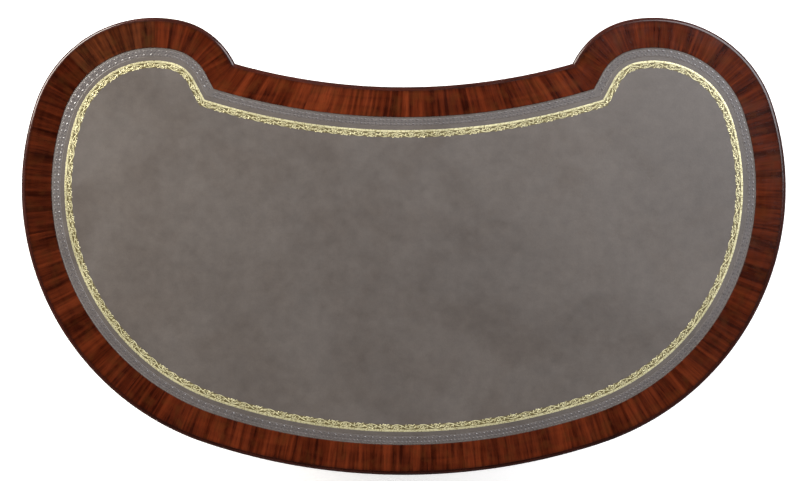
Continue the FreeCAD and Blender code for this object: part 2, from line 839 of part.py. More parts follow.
handles = {}
for number, (bottom, top) in enumerate(opening_levels, start=1):
    drawer, handles[number] = pedestal_drawer(bottom, top)
    for piece, shapes in drawer.items():
        node(f"right_drawer_{number}_{piece}", shapes)
        node(f"left_drawer_{number}_{piece}", [mirror(shape) for shape in shapes])

drawer, handles["centre"] = centre_drawer()
for piece, shapes in drawer.items():
    node(f"centre_drawer_{piece}", shapes)

os.makedirs("parts", exist_ok=True)
for name, pieces in nodes.items():
    shape = pieces[0] if len(pieces) == 1 else Part.makeCompound(pieces)
    shape.exportStep(f"parts/{name}.step")
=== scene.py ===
import math

import bmesh
import bpy
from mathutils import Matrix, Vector


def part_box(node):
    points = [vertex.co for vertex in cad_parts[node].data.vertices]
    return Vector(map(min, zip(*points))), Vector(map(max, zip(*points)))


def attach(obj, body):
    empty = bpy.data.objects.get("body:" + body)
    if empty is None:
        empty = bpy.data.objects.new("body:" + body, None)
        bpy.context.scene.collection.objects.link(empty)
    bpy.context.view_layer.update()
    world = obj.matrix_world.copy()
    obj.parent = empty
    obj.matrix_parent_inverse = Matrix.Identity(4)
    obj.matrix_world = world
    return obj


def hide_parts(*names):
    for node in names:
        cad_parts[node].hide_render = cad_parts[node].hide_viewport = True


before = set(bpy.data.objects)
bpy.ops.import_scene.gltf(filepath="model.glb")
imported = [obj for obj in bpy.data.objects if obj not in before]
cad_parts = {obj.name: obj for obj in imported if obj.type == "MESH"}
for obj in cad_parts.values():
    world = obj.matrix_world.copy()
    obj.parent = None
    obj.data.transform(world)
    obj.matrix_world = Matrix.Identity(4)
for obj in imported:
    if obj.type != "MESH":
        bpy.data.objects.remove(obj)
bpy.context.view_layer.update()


# Plinths: a moulded skirting round the foot of each pedestal and along under the modesty panel.
# Solid mahogany, mitred at its corners and glued to the carcase, stained dark and waxed.

def connect(tree, node, inputs):
    """Links or sets a node's inputs, by name or number."""
    for key, value in inputs.items():
        if isinstance(value, bpy.types.NodeSocket):
            tree.links.new(value, node.inputs[key])
        else:
            node.inputs[key].default_value = value


def place(tree, kind, inputs=None, **settings):
    """Adds a node, sets its properties, and connects its inputs."""
    made = tree.nodes.new(kind)
    for name, value in settings.items():
        setattr(made, name, value)
    connect(tree, made, inputs or {})
    return made


def worked(tree, operation, *values):
    """The result of a Math node."""
    return place(tree, "ShaderNodeMath", dict(enumerate(values)), operation=operation).outputs[0]


def stretched(tree, vector, shares):
    """A vector with each of its axes times its own share."""
    return place(tree, "ShaderNodeVectorMath", {0: vector, 1: shares}, operation="MULTIPLY").outputs[0]


def noise(tree, vector, scale, detail=2.0, distortion=0.0):
    """The value of a Noise texture."""
    inputs = {"Vector": vector, "Scale": scale, "Detail": detail, "Distortion": distortion}
    return place(tree, "ShaderNodeTexNoise", inputs).outputs["Fac"]


def spread(tree, value, low, high, to_low=0.0, to_high=1.0):
    """The value with low to high carried to other ends, and held there beyond them."""
    inputs = {"Value": value, "From Min": low, "From Max": high, "To Min": to_low, "To Max": to_high}
    return place(tree, "ShaderNodeMapRange", inputs).outputs["Result"]


def tinted(tree, share, first, second, blend="MIX"):
    """The first colour mixed with the second by share."""
    inputs = {0: share, 6: first, 7: second}
    return place(tree, "ShaderNodeMix", inputs, data_type="RGBA", blend_type=blend).outputs[2]


lamp_level = 1.7
srgb_offset, srgb_scale, srgb_power = 0.055, 1.055, 2.4


def shade(red, green, blue):
    """A surface's own colour, from the levels of 0 to 255 at which the studio's lamps show it."""
    lit = [((level / 255 + srgb_offset) / srgb_scale) ** srgb_power for level in (red, green, blue)]
    return (*[level / lamp_level for level in lit], 1.0)


def effect(name, inputs, outputs):
    """An empty shader group with named sockets, and the two ends inside it."""
    tree = bpy.data.node_groups.new(name, "ShaderNodeTree")
    for direction, sockets in (("INPUT", inputs), ("OUTPUT", outputs)):
        for label, kind in sockets.items():
            tree.interface.new_socket(label, in_out=direction, socket_type="NodeSocket" + kind)
    return tree, tree.nodes.new("NodeGroupInput").outputs, tree.nodes.new("NodeGroupOutput").inputs


def wood_grain_group():
    """Streaks, pores and a cross figure for wood whose grain runs along X of Position, in metres."""
    tree, given, result = effect(
        "wood_grain",
        {"Position": "Vector", "Light": "Color", "Dark": "Color", "Streaks": "Float", "Figure": "Float"},
        {"Colour": "Color", "Tone": "Float", "Height": "Float"})
    wander_scale, wander_reach = 3.0, (0.0, 0.03, 0.03)
    streak_shape, curl_shape, pore_shape = (0.06, 1.0, 1.0), (1.0, 0.15, 0.15), (0.03, 1.0, 1.0)
    fine_times, curl_scale, pore_scale = 4.5, 40.0, 1500.0
    broad_share, fine_share = 0.5, 0.5
    tone_ends, pore_ends = (0.36, 0.64), (0.58, 0.74)
    pore_share, pore_tint = 0.45, (0.05, 0.03, 0.02, 1.0)
    raised_share = 0.3
    wander = place(tree, "ShaderNodeTexNoise", {"Vector": given["Position"], "Scale": wander_scale})
    inputs = {0: wander.outputs["Color"], 1: wander_reach, 2: given["Position"]}
    wavy = place(tree, "ShaderNodeVectorMath", inputs, operation="MULTIPLY_ADD").outputs[0]
    drawn_out = stretched(tree, wavy, streak_shape)
    broad = noise(tree, drawn_out, given["Streaks"], detail=4.0, distortion=0.3)
    fine = noise(tree, drawn_out, worked(tree, "MULTIPLY", given["Streaks"], fine_times), detail=3.0)
    curl = noise(tree, stretched(tree, wavy, curl_shape), curl_scale, detail=1.0, distortion=1.5)
    pores = noise(tree, stretched(tree, wavy, pore_shape), pore_scale, detail=1.0)
    pores = spread(tree, pores, *pore_ends)
    streaks = worked(tree, "MULTIPLY_ADD", broad, broad_share, worked(tree, "MULTIPLY", fine, fine_share))
    figure = worked(tree, "MULTIPLY", worked(tree, "SUBTRACT", curl, 0.5), given["Figure"])
    tone = spread(tree, worked(tree, "ADD", streaks, figure), *tone_ends)
    colour = tinted(tree, tone, given["Dark"], given["Light"])
    colour = tinted(tree, worked(tree, "MULTIPLY", pores, pore_share), colour, pore_tint, "MULTIPLY")
    tree.links.new(colour, result["Colour"])
    tree.links.new(tone, result["Tone"])
    raised = worked(tree, "MULTIPLY", fine, raised_share)
    tree.links.new(worked(tree, "SUBTRACT", raised, pores), result["Height"])
    return tree


def worn_polish_group():
    """The smears, rubbed places and hair scratches of a surface that has been handled and waxed for years."""
    tree, given, result = effect(
        "worn_polish", {"Position": "Vector", "Gloss": "Float", "Wear": "Float"},
        {"Roughness": "Float", "Rubbed": "Float", "Height": "Float"})
    smear_scale, rub_scale, rub_share = 9.0, 70.0, 0.35
    hair_scale, hair_shape, hair_share = 700.0, (0.05, 1.0, 0.6), 0.4
    rub_ends, hair_ends, usual_rub = (0.5, 0.85), (0.68, 0.78), 0.4
    smears = noise(tree, given["Position"], smear_scale, detail=5.0, distortion=0.6)
    rubs = noise(tree, given["Position"], rub_scale, detail=3.0)
    hairs = noise(tree, stretched(tree, given["Position"], hair_shape), hair_scale)
    hairs = spread(tree, hairs, *hair_ends)
    rubbed = spread(tree, worked(tree, "MULTIPLY_ADD", rubs, rub_share, smears), *rub_ends)
    change = worked(tree, "MULTIPLY_ADD", hairs, hair_share, worked(tree, "SUBTRACT", rubbed, usual_rub))
    roughness = worked(tree, "MULTIPLY_ADD", change, given["Wear"], given["Gloss"])
    tree.links.new(roughness, result["Roughness"])
    tree.links.new(rubbed, result["Rubbed"])
    tree.links.new(hairs, result["Height"])
    return tree


wood_grain = wood_grain_group()
worn_polish = worn_polish_group()


def new_material(name):
    made = bpy.data.materials.new(name)
    made.use_nodes = True
    return made, made.node_tree, made.node_tree.nodes["Principled BSDF"]


def fill_group(tree, group, inputs):
    """The outputs of a shader group, with its inputs connected."""
    return place(tree, "ShaderNodeGroup", inputs, node_tree=group).outputs


bump_strength = 0.6


def bumped(tree, height, depth):
    """A normal pressed in or raised by height, up to depth metres."""
    inputs = {"Height": height, "Strength": bump_strength, "Distance": depth}
    return place(tree, "ShaderNodeBump", inputs).outputs["Normal"]


grain_turns = {"X": (0, 0, 0), "Y": (0, 0, -math.pi / 2), "Z": (0, math.pi / 2, 0)}


def along_grain(tree, axis):
    """Object coordinates, turned so that their X runs along the piece's grain."""
    found = place(tree, "ShaderNodeTexCoord").outputs["Object"]
    return place(tree, "ShaderNodeMapping", {"Vector": found, "Rotation": grain_turns[axis]}).outputs[0]


def wooden(name, light, dark, axis, streaks=34.0, figure=0.12, gloss=0.34, wear=0.16, coat=0.35,
           crossed_from=None):
    """Polished or bare wood with its grain along one axis, or along X at the back from a set depth on."""
    made, tree, shader = new_material(name)
    position = along_grain(tree, axis)
    if crossed_from is not None:
        level = along_grain(tree, "X")
        depth = place(tree, "ShaderNodeSeparateXYZ", {0: level}).outputs["Y"]
        crossed = worked(tree, "GREATER_THAN", depth, crossed_from)
        inputs = {0: crossed, 4: position, 5: level}
        position = place(tree, "ShaderNodeMix", inputs, data_type="VECTOR").outputs[1]
    grain = fill_group(tree, wood_grain, {"Position": position, "Light": light, "Dark": dark,
                                          "Streaks": streaks, "Figure": figure})
    polish = fill_group(tree, worn_polish, {"Position": position, "Gloss": gloss, "Wear": wear})
    connect(tree, shader, {"Base Color": grain["Colour"], "Roughness": polish["Roughness"],
                           "Normal": bumped(tree, grain["Height"], 0.00012),
                           "Coat Weight": coat, "Coat Roughness": 0.16, "Specular IOR Level": 0.4})
    return made


def dress(names, finish):
    """Gives CAD nodes their finish."""
    for name in names:
        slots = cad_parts[name].data.materials
        slots.clear()
        slots.append(finish)


plinth_wood = wooden("plinth_mahogany", shade(104, 46, 28), shade(56, 22, 14), "X", gloss=0.4, wear=0.24)
dress(["right_plinth", "left_plinth", "centre_plinth"], plinth_wood)

plinth_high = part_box("centre_plinth")[1]
plinth_radius, plinth_thickness = 1.114, 0.022
plinth_mould_width, plinth_mould_height, plinth_fillet = 0.009, 0.013, 0.002
cope_length, cope_lap, cope_sink = 0.0094, 0.001, 0.0002
cope_steps, cope_curve_steps = 3, 8


def mesh_from(build, name):
    """A mesh of what was built, with its faces turned outwards."""
    mesh = bpy.data.meshes.new(name)
    bmesh.ops.recalc_face_normals(build, faces=build.faces)
    build.to_mesh(mesh)
    build.free()
    return mesh


def add_object(name, data):
    made = bpy.data.objects.new(name, data)
    bpy.context.scene.collection.objects.link(made)
    return made


def plinth_copes():
    """The two short lengths of moulding that fill the joints where the plinths meet at the back."""
    mould_bottom = plinth_high.z - plinth_fillet - plinth_mould_height
    section = []
    for k in range(cope_curve_steps + 1):
        angle = math.pi / 2 * k / cope_curve_steps
        section.append((plinth_mould_width * (1 - math.cos(angle)) + cope_sink,
                        mould_bottom + (plinth_mould_height - cope_sink) * math.sin(angle)))
    inner_face = plinth_thickness - cope_sink
    section += [(plinth_mould_width + cope_sink, plinth_high.z), (inner_face, plinth_high.z),
                (inner_face, mould_bottom)]
    build = bmesh.new()
    centre_y = plinth_high.y - plinth_radius
    for side in (1, -1):
        rows = []
        for k in range(cope_steps + 1):
            x = plinth_high.x - cope_lap + (cope_length + cope_lap) * k / cope_steps
            depths = [math.sqrt((plinth_radius - inset)**2 - x**2) for inset, _ in section]
            rows.append([build.verts.new((side * x, centre_y + depth, z))
                         for depth, (_, z) in zip(depths, section)])
        for first, second in zip(rows, rows[1:]):
            for k in range(len(section)):
                build.faces.new([first[k], first[k - 1], second[k - 1], second[k]])
        build.faces.new(rows[0])
        build.faces.new(rows[-1])
    mesh = mesh_from(build, "plinth_copes")
    mesh.materials.append(plinth_wood)
    return add_object("plinth_copes", mesh)


copes = plinth_copes()
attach(copes, "carcase")


# Inside of the pedestals: bottom boards, guide panels, partitions, runners and drawer stops.
# Plain pine that no one sees, sawn and planed, glued and pinned, gone the brown of old softwood.

pine_light, pine_dark = shade(220, 176, 120), shade(172, 124, 76)
pine_runs = {"X": ["bottom_boards"], "Y": ["runners_and_stops"], "Z": ["guide_panels", "partitions"]}
for axis, names in pine_runs.items():
    pine = wooden(f"pine_along_{axis}", pine_light, pine_dark, axis,
                  streaks=22.0, figure=0.05, gloss=0.62, coat=0.0)
    dress(names, pine)


# Carcase: curved outer panels, flat kneehole panels, the modesty panel, front posts and drawer rails.
# Mahogany veneer with its grain upright on the panels and posts and level on the rails, French polished.

mahogany_light, mahogany_dark = shade(140, 64, 36), shade(78, 30, 17)
upright_mahogany = wooden("upright_mahogany", mahogany_light, mahogany_dark, "Z", streaks=26.0, figure=0.1)
level_mahogany = wooden("level_mahogany", mahogany_light, mahogany_dark, "X")
dress(["right_outer_panel", "left_outer_panel", "right_kneehole_panel", "left_kneehole_panel",
       "modesty_panel", "front_posts"], upright_mahogany)
dress(["drawer_rails", "kneehole_rails"], level_mahogany)


# Panel mouldings: three raised frames with an inner bead, planted on the convex back and ends.
# Solid mahogany run with a plane, mitred, glued and pinned, and polished with the panels.

moulding_wood = wooden("moulding_mahogany", shade(118, 52, 30), shade(64, 25, 15), "Z",
                       streaks=60.0, figure=0.1)
dress(["back_mouldings"], moulding_wood)


# Drawer linings: two sides, a back and a bottom board to each drawer.
# Thin oak left bare inside, the sides dovetailed to the front and grooved for the bottom.

drawer_numbers = range(1, 5)
pedestal_drawers = [f"{side}_drawer_{number}" for number in drawer_numbers for side in ("right", "left")]
back_thickness, back_margin = 0.010, 0.0002
back_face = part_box("centre_drawer_box")[1].y - back_thickness - back_margin
oak = wooden("drawer_oak", shade(212, 170, 116), shade(168, 124, 76), "Y",
             streaks=40.0, figure=0.1, gloss=0.55, coat=0.0, crossed_from=back_face)
dress([f"{drawer}_box" for drawer in pedestal_drawers + ["centre_drawer"]], oak)


# Drawer fronts: bowed over the lobes and hollow over the kneehole, with a cockbead round each.
# Figured mahogany veneer on a solid ground, and a darker mahogany bead let in round the edge.

cockbead_width, joint_width = 0.004, 0.0004
bead_shade, joint_shade, bead_share = shade(86, 34, 20), shade(32, 13, 9), 0.8


def drawer_front_wood(node):
    """Level figured veneer, its bead and joint found by their distance from the front's edges."""
    low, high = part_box(node)
    made, tree, shader = new_material(f"{node}_veneer")
    position = along_grain(tree, "X")
    grain = fill_group(tree, wood_grain, {"Position": position, "Light": shade(150, 68, 37), "Streaks": 30.0,
                                          "Dark": shade(82, 32, 17), "Figure": 0.18})
    polish = fill_group(tree, worn_polish, {"Position": position, "Gloss": 0.3, "Wear": 0.16})
    parts = place(tree, "ShaderNodeSeparateXYZ", {0: position}).outputs
    across = worked(tree, "ABSOLUTE", parts["X"])
    edges = [worked(tree, "SUBTRACT", parts["Z"], low.z), worked(tree, "SUBTRACT", high.z, parts["Z"]),
             worked(tree, "SUBTRACT", high.x, across)]
    if low.x > 0:
        edges.append(worked(tree, "SUBTRACT", across, low.x))
    nearest = edges[0]
    for edge in edges[1:]:
        nearest = worked(tree, "MINIMUM", nearest, edge)
    bead = worked(tree, "LESS_THAN", nearest, cockbead_width)
    joint = worked(tree, "COMPARE", nearest, cockbead_width, joint_width)
    colour = tinted(tree, worked(tree, "MULTIPLY", bead, bead_share), grain["Colour"], bead_shade)
    colour = tinted(tree, worked(tree, "MULTIPLY", joint, bead_share), colour, joint_shade)
    connect(tree, shader, {"Base Color": colour, "Roughness": polish["Roughness"],
                           "Normal": bumped(tree, grain["Height"], 0.0001),
                           "Coat Weight": 0.4, "Coat Roughness": 0.14, "Specular IOR Level": 0.4})
    return made


for number in drawer_numbers:
    veneer = drawer_front_wood(f"right_drawer_{number}_front")
    dress([f"right_drawer_{number}_front", f"left_drawer_{number}_front"], veneer)
dress(["centre_drawer_front"], drawer_front_wood("centre_drawer_front"))


# Handles and lock: turned posts with nuts, swan-necked bails, and the centre drawer's lock and scutcheon.
# Cast and turned brass gone brown in its hollows and bright where hands rub it; the lock's bolt is steel.

def metal(name, bright, dull, gloss, wear):
    """Bare metal, stained where it isn't rubbed."""
    made, tree, shader = new_material(name)
    position = along_grain(tree, "X")
    polish = fill_group(tree, worn_polish, {"Position": position, "Gloss": gloss, "Wear": wear})
    stain_scale, stain_ends, stain_roughness, hair_depth = 160.0, (0.45, 0.7), 0.2, 0.00003
    stain = spread(tree, noise(tree, position, stain_scale, detail=4.0), *stain_ends)
    stain = worked(tree, "MULTIPLY", stain, worked(tree, "SUBTRACT", 1.0, polish["Rubbed"]))
    roughness = worked(tree, "MULTIPLY_ADD", stain, stain_roughness, polish["Roughness"])
    connect(tree, shader, {"Base Color": tinted(tree, stain, bright, dull), "Metallic": 1.0,
                           "Roughness": roughness, "Normal": bumped(tree, polish["Height"], hair_depth)})
    return made


brass = metal("old_brass", (0.78, 0.53, 0.20, 1.0), (0.26, 0.16, 0.06, 1.0), gloss=0.24, wear=0.16)
steel = metal("lock_steel", (0.42, 0.41, 0.40, 1.0), (0.16, 0.12, 0.09, 1.0), gloss=0.34, wear=0.2)
for drawer in pedestal_drawers:
    dress([f"{drawer}_brass", f"{drawer}_bail"], brass)
dress(["centre_drawer_brass", "centre_drawer_right_bail", "centre_drawer_left_bail"], brass)
dress(["centre_drawer_lock_bolt"], steel)


# Top: a core board held down by battens and countersunk screws driven up into it.
# Pine core and battens, stained to pass for mahogany where the overhang shows it, and steel screws.

stained_pine = wooden("stained_pine", shade(110, 60, 38), shade(72, 36, 22), "X",
                      figure=0.05, gloss=0.55, coat=0.0)
dress(["top_core"], stained_pine)
dress(["top_battens"], bpy.data.materials["pine_along_Y"])
dress(["top_screws"], steel)


# Edge moulding: a thumb-moulded lipping in three lengths round the top, mitred at the two notches.
# Solid mahogany glued to the core, its grain along the edge, almost black with old polish.

edge_low, edge_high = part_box("top_edge_moulding")
widest_share = 0.373
back_radius = 1.130
shoulder_radius = 0.225
lobe_radius = 0.139
lobe_offset = 0.0175
kneehole_depth = 0.1245
flank_angle = math.radians(28.0) - math.pi
flank_length = 0.0079

half_width, front_y, back_y = edge_high.x, edge_low.y, edge_high.y
widest_y = front_y + widest_share * (back_y - front_y)
back_reach = back_y - widest_y
end_radius = (2 * back_radius * back_reach - back_reach**2 - half_width**2) / (2 * (back_radius - half_width))
back_centre = Vector((0, back_y - back_radius))
end_centre = Vector((half_width - end_radius, widest_y))
shoulder_y = front_y + shoulder_radius
shoulder_reach = math.sqrt((end_radius - shoulder_radius)**2 - (shoulder_y - widest_y)**2)
shoulder_centre = Vector((end_centre.x + shoulder_reach, shoulder_y))
lobe_reach = math.sqrt((shoulder_radius - lobe_radius)**2 - lobe_offset**2)
lobe_centre = Vector((shoulder_centre.x - lobe_offset, shoulder_y - lobe_reach))


def polar(centre, radius, angle):
    return centre + radius * Vector((math.cos(angle), math.sin(angle)))


def heading(vector):
    return math.atan2(vector.y, vector.x)


flank_way = Vector((math.sin(flank_angle), -math.cos(flank_angle)))
hollow_corner = polar(lobe_centre, lobe_radius, flank_angle) + flank_length * flank_way
hollow_rise = front_y + kneehole_depth - hollow_corner.y
kneehole_radius = (hollow_corner.x**2 + hollow_rise**2) / (2 * hollow_rise)
kneehole_centre = Vector((0, front_y + kneehole_depth - kneehole_radius))
lobe_to_shoulder = heading(lobe_centre - shoulder_centre)
shoulder_to_end = heading(shoulder_centre - end_centre)
end_to_back = heading(end_centre - back_centre)


def flank_start(inset):
    """Where the right-hand lobe's arc ends and its flank runs on straight, drawn in by inset."""
    return polar(lobe_centre, lobe_radius - inset, flank_angle)


def notch(inset):
    """The right-hand corner where that flank meets the hollow."""
    start = flank_start(inset) - kneehole_centre
    along = start.dot(flank_way)
    run = math.sqrt(along**2 - start.length_squared + (kneehole_radius + inset)**2) - along
    return flank_start(inset) + run * flank_way


flank_steps, lobe_steps, shoulder_steps = 6, 28, 44
end_steps, back_steps, hollow_steps = 80, 64, 60
sharp_angle = math.radians(34)


def swept(centre, radius, start, end, steps):
    """Points along an arc, without its last."""
    return [polar(centre, radius, start + (end - start) * k / steps) for k in range(steps)]


def round_run(inset):
    """The outline from the right-hand notch round the back to the left-hand one, without that last point."""
    right = [notch(inset).lerp(flank_start(inset), k / flank_steps) for k in range(flank_steps)]
    right += swept(lobe_centre, lobe_radius - inset, flank_angle, lobe_to_shoulder, lobe_steps)
    right += swept(shoulder_centre, shoulder_radius - inset, lobe_to_shoulder, shoulder_to_end, shoulder_steps)
    right += swept(end_centre, end_radius - inset, shoulder_to_end, end_to_back, end_steps)
    back = swept(back_centre, back_radius - inset, end_to_back, math.pi - end_to_back, back_steps)
    left = [Vector((-point.x, point.y)) for point in reversed(right[1:] + [back[0]])]
    return right + back + left


def hollow_run(inset):
    """The outline across the kneehole, from the left-hand notch to the right, without that last point."""
    start = heading(notch(inset) - kneehole_centre)
    return swept(kneehole_centre, kneehole_radius + inset, math.pi - start, start, hollow_steps)


def outline(inset):
    return round_run(inset) + hollow_run(inset)


def outline_ring(name, profile, finish):
    """A closed moulding round the outline, from (inset, z) pairs, mapped in metres along and across it."""
    rings = [outline(inset) for inset, _ in profile]
    build = bmesh.new()
    grid = [[build.verts.new((p.x, p.y, z)) for p in ring] for ring, (_, z) in zip(rings, profile)]
    count = len(rings[0])
    steps = [(rings[0][(k + 1) % count] - rings[0][k]).length for k in range(count)]
    along = [sum(steps[:k]) for k in range(count + 1)]
    across = [0.0]
    for (inset, z), (next_inset, next_z) in zip(profile, profile[1:] + profile[:1]):
        across.append(across[-1] + math.hypot(next_inset - inset, next_z - z))
    chart = build.loops.layers.uv.new("UVMap")
    for row in range(len(profile)):
        upper = (row + 1) % len(profile)
        for k in range(count):
            corners = [(row, k), (row, k + 1), (row + 1, k + 1), (row + 1, k)]
            face = build.faces.new([grid[upper if r > row else row][c % count] for r, c in corners])
            for loop, (r, c) in zip(face.loops, corners):
                loop[chart].uv = (along[c], across[r])
    mesh = mesh_from(build, name)
    mesh.shade_smooth()
    mesh.set_sharp_from_angle(angle=sharp_angle)
    mesh.materials.append(finish)
    return add_object(name, mesh)


def mapped_position(tree):
    """Metres along the outline and across the piece, from the piece's own map."""
    chart = place(tree, "ShaderNodeUVMap", uv_map="UVMap").outputs[0]
    return place(tree, "ShaderNodeSeparateXYZ", {0: chart}).outputs


def edge_wood():
    made, tree, shader = new_material("edge_mahogany")
    chart = mapped_position(tree)
    position = place(tree, "ShaderNodeCombineXYZ", {"X": chart["X"], "Y": chart["Y"]}).outputs[0]
    grain = fill_group(tree, wood_grain, {"Position": position, "Light": shade(78, 32, 21), "Streaks": 90.0,
                                          "Dark": shade(44, 17, 12), "Figure": 0.1})
    polish = fill_group(tree, worn_polish, {"Position": position, "Gloss": 0.24, "Wear": 0.1})
    connect(tree, shader, {"Base Color": grain["Colour"], "Roughness": polish["Roughness"],
                           "Normal": bumped(tree, grain["Height"], 0.00001),
                           "Coat Weight": 0.22, "Coat Roughness": 0.08, "Specular IOR Level": 0.3})
    return made


lipping_width = 0.014
moulding_width, moulding_drop = 0.007, 0.005
under_width, under_height = 0.006, 0.008
curve_steps = 14
under_z, band_z = edge_low.z, edge_high.z
quarter = [math.pi / 2 * k / curve_steps for k in range(curve_steps + 1)]
lower_edge = [(under_width * (1 - math.sin(a)), under_z + under_height * (1 - math.cos(a))) for a in quarter]
thumb = [(moulding_width * (1 - math.cos(a)), band_z - moulding_drop * (1 - math.sin(a))) for a in quarter]
edge_profile = [(lipping_width, under_z)] + lower_edge + thumb + [(lipping_width, band_z)]
edge_moulding = outline_ring("edge_moulding", edge_profile, edge_wood())
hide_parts("top_edge_moulding")
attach(edge_moulding, "carcase")


# Crossbanding: a border of mahogany veneer between the edge moulding and the leather.
# Short leaves laid with their grain square to the edge, rubbed down, and polished to a deep shine.

band_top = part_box("top_crossbanding")[1].z
band_inset, band_round = 0.0545, 0.0005
leaf_length, leaf_lift = 0.17, 3.0
dark_tint, dark_share = (0.3, 0.15, 0.11, 1.0), 0.35
pale_leaf, pale_tint = 1, (1.15, 1.6, 1.7, 1.0)
bar_scale, bar_shape, bar_ends = 62.0, (0.08, 1.0, 1.0), (0.5, 0.6)
bar_tint, bar_share = (0.24, 0.14, 0.12, 1.0), 0.5
brown_scale, brown_ends, brown_share = 45.0, (0.5, 0.7), 0.4
# The lean and ends below place the painted shade at the two ends of the crossbanding.
end_shade_lean = -0.25
left_shade_ends, left_shade_share = (0.3, 0.68), 0.46
right_shade_ends, right_shade_share = (-0.33, -0.65), 0.24
joint_ends, joint_share = (0.002, 0.007), 0.4


def crossband_wood():
    """Veneer leaf by leaf, with painted shade at both ends of the top, and darker in the joint along the
    moulding.
    """
    made, tree, shader = new_material("crossband_mahogany")
    chart = mapped_position(tree)
    leaf_number = worked(tree, "FLOOR", worked(tree, "DIVIDE", chart["X"], leaf_length))
    lot = place(tree, "ShaderNodeTexWhiteNoise", {"W": leaf_number}, noise_dimensions="1D").outputs["Value"]
    lift = worked(tree, "MULTIPLY", lot, leaf_lift)
    position = place(tree, "ShaderNodeCombineXYZ", {"X": chart["Y"], "Y": chart["X"], "Z": lift}).outputs[0]
    grain = fill_group(tree, wood_grain, {"Position": position, "Light": shade(126, 54, 27), "Streaks": 42.0,
                                          "Dark": shade(62, 21, 10), "Figure": 0.2})
    polish = fill_group(tree, worn_polish, {"Position": position, "Gloss": 0.16, "Wear": 0.1})
    colour = tinted(tree, worked(tree, "MULTIPLY", lot, dark_share), grain["Colour"], dark_tint, "MULTIPLY")
    bars = noise(tree, stretched(tree, position, bar_shape), bar_scale, detail=1.0, distortion=0.2)
    colour = tinted(tree, spread(tree, bars, *bar_ends, 0.0, bar_share), colour, bar_tint, "MULTIPLY")
    brown = spread(tree, noise(tree, position, brown_scale), *brown_ends, 0.0, brown_share)
    colour = tinted(tree, brown, colour, shade(96, 50, 22))
    pale = worked(tree, "COMPARE", leaf_number, pale_leaf, 0.1)
    colour = tinted(tree, pale, colour, pale_tint, "MULTIPLY")
    # Painted shade: the veneer is darkened towards both ends of the top, more on the left, for the way light
    # falls across its grain there.
    plan = place(tree, "ShaderNodeSeparateXYZ", {0: along_grain(tree, "X")}).outputs
    reach = worked(tree, "MULTIPLY_ADD", plan["Y"], end_shade_lean, plan["X"])
    left_end_shade = spread(tree, reach, *left_shade_ends, 0.0, left_shade_share)
    right_end_shade = spread(tree, reach, *right_shade_ends, 0.0, right_shade_share)
    colour = tinted(tree, worked(tree, "ADD", left_end_shade, right_end_shade), colour, (0.0, 0.0, 0.0, 1.0))
    colour = tinted(tree, spread(tree, chart["Y"], *joint_ends, joint_share, 0.0), colour, shade(30, 12, 8))
    connect(tree, shader, {"Base Color": colour, "Roughness": polish["Roughness"],
                           "Normal": bumped(tree, grain["Height"], 0.00003),
                           "Coat Weight": 0.25, "Coat Roughness": 0.1, "Specular IOR Level": 0.3})
    return made


band_rows = 8
band_profile = [(moulding_width, band_z), (moulding_width, band_top - band_round)]
for row in range(band_rows + 1):
    reach = moulding_width + band_round + (band_inset - moulding_width - 2 * band_round) * row / band_rows
    band_profile.append((reach, band_top))
band_profile += [(band_inset, band_top - band_round), (band_inset, band_z)]
crossband = outline_ring("crossband", band_profile, crossband_wood())
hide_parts("top_crossbanding")
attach(crossband, "carcase")


# Leather skiver: one thin grey hide let in flush behind the crossbanding.
# Pared to about a millimetre, glued down, dyed, and faded unevenly by light and use.

leather_low, leather_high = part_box("leather_skiver")
leather_top = leather_high.z
roll_width, roll_drop = 0.0008, 0.0004
line_depth, line_half = 0.0003, 0.0006
blind_lines = (0.0566, 0.0702)
leather_flat_inset = 0.100
cloud_scale, mottle_scale, crease_scale, pebble_scale = 5.0, 55.0, 260.0, 900.0
cloud_share, mottle_share, pebble_share = 0.52, 0.48, 0.6
hide_ends, pebble_ends, darker_middle_ends = (0.28, 0.72), (0.5, 1.0), (0.08, 0.42)
darker_tone, darker_share = shade(60, 52, 50), 0.16
darker_middle = (0.0, 0.1, leather_top)


def leather_skin(name, light, dark, gloss, pebble_depth=0.00012):
    """Dyed and pebbled hide, clouded by light, darker in its creases and round a point near the middle of the
    top.
    """
    made, tree, shader = new_material(name)
    position = along_grain(tree, "X")
    clouds = noise(tree, position, cloud_scale, detail=4.0, distortion=0.4)
    mottle = noise(tree, position, mottle_scale, detail=4.0)
    tone = worked(tree, "MULTIPLY_ADD", clouds, cloud_share, worked(tree, "MULTIPLY", mottle, mottle_share))
    colour = tinted(tree, spread(tree, tone, *hide_ends), dark, light)
    cells = place(tree, "ShaderNodeTexVoronoi", {"Vector": position, "Scale": pebble_scale}).outputs["Distance"]
    creases = noise(tree, position, crease_scale, detail=3.0)
    pebble = worked(tree, "MULTIPLY_ADD", cells, pebble_share, creases)
    colour = tinted(tree, spread(tree, pebble, *pebble_ends, darker_share, 0.0), colour, darker_tone)
    # Darker round a point near the middle of the top, fading out towards the edges.
    inputs = {0: position, 1: darker_middle}
    reach = place(tree, "ShaderNodeVectorMath", inputs, operation="DISTANCE").outputs["Value"]
    colour = tinted(tree, spread(tree, reach, *darker_middle_ends, darker_share, 0.0), colour, darker_tone)
    polish = fill_group(tree, worn_polish, {"Position": position, "Gloss": gloss, "Wear": 0.14})
    connect(tree, shader, {"Base Color": colour, "Roughness": polish["Roughness"],
                           "Normal": bumped(tree, pebble, pebble_depth), "Specular IOR Level": 0.7})
    return made


skin_light, skin_dark = shade(111, 102, 96), shade(90, 82, 77)
leather_profile = [(band_inset, leather_low.z), (band_inset, leather_top - roll_drop),
                   (band_inset + roll_width, leather_top)]
for line in blind_lines:
    leather_profile += [(line - line_half, leather_top), (line, leather_top - line_depth),
                        (line + line_half, leather_top)]
leather_profile.append((leather_flat_inset, leather_top))


